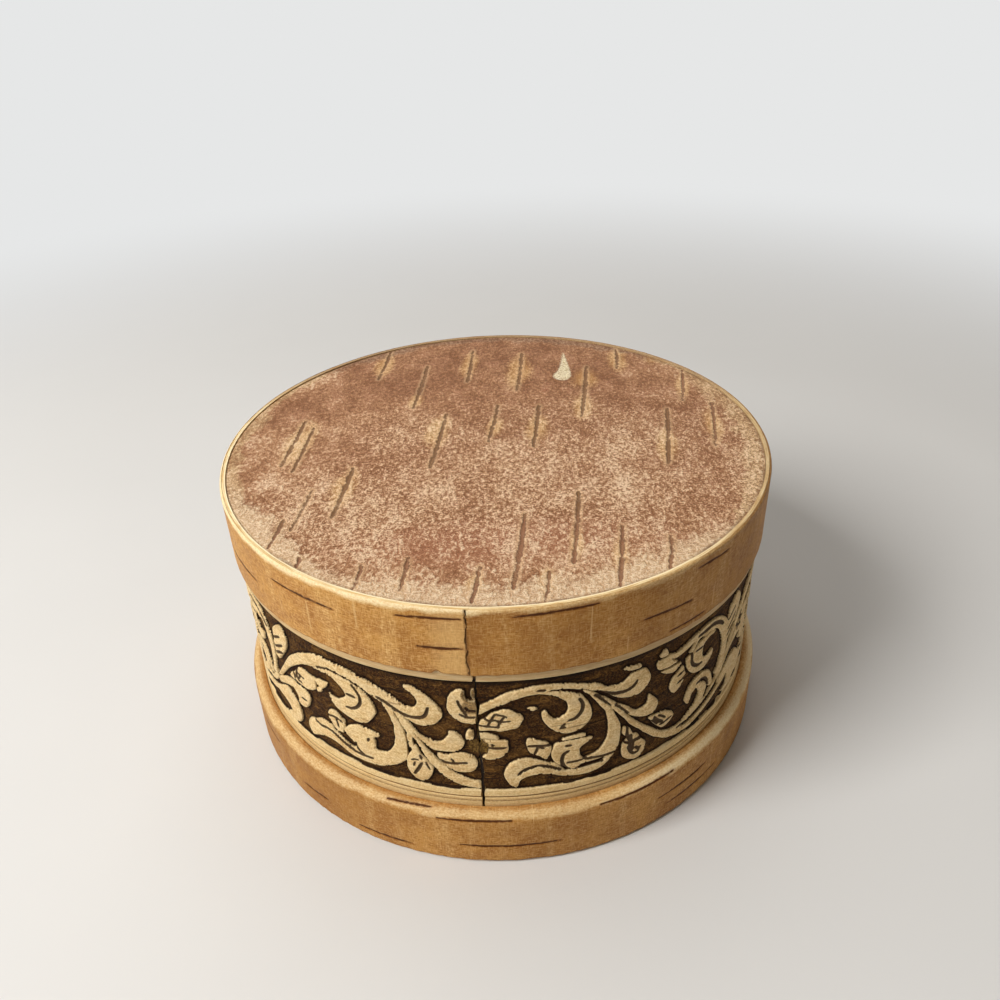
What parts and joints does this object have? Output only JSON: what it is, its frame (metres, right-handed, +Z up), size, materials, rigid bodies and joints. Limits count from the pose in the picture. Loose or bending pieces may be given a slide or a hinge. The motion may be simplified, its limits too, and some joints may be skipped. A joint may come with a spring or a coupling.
{
  "type": "round bark trinket box",
  "caption": "Round birch-bark trinket box with a carved scrollwork band, a proud base band and a lift-off lid topped with a bark disc.",
  "frame": {"origin": "centre of the underside, on the surface that the box stands on", "axes": "+Z up along the axis of the box; -Y towards the front, where the seams of the lid and the carved band are"},
  "size_m": [0.1032, 0.1032, 0.054],
  "materials": {
    "red_bark": "matt inner side of birch bark, reddish brown with pale specks",
    "honey_bark": "satin honey-coloured birch bark with dark lenticels",
    "pale_bark": "sanded pale bark edge",
    "carved_bark": "pale carved relief over a dark stained, stippled ground",
    "lining_bark": "smooth bark lining",
    "board_wood": "plain sanded wood"
  },
  "bodies": {
    "box": {"carved_band": "carved_bark", "liner": "lining_bark", "bottom_board": "board_wood", "floor_lining": "lining_bark", "underside_bark": "red_bark", "base_core": "pale_bark", "base_skin": "honey_bark"},
    "lid": {"lid_top_bark": "red_bark", "lid_board": "board_wood", "lid_lining": "lining_bark", "lid_ply": "pale_bark", "lid_skin": "honey_bark"}
  },
  "joints": [
    {"name": "lid_lift", "type": "slide", "parent": "box", "child": "lid", "axis": [0, 0, 1], "range_m": [0, 0.07]}
  ]
}
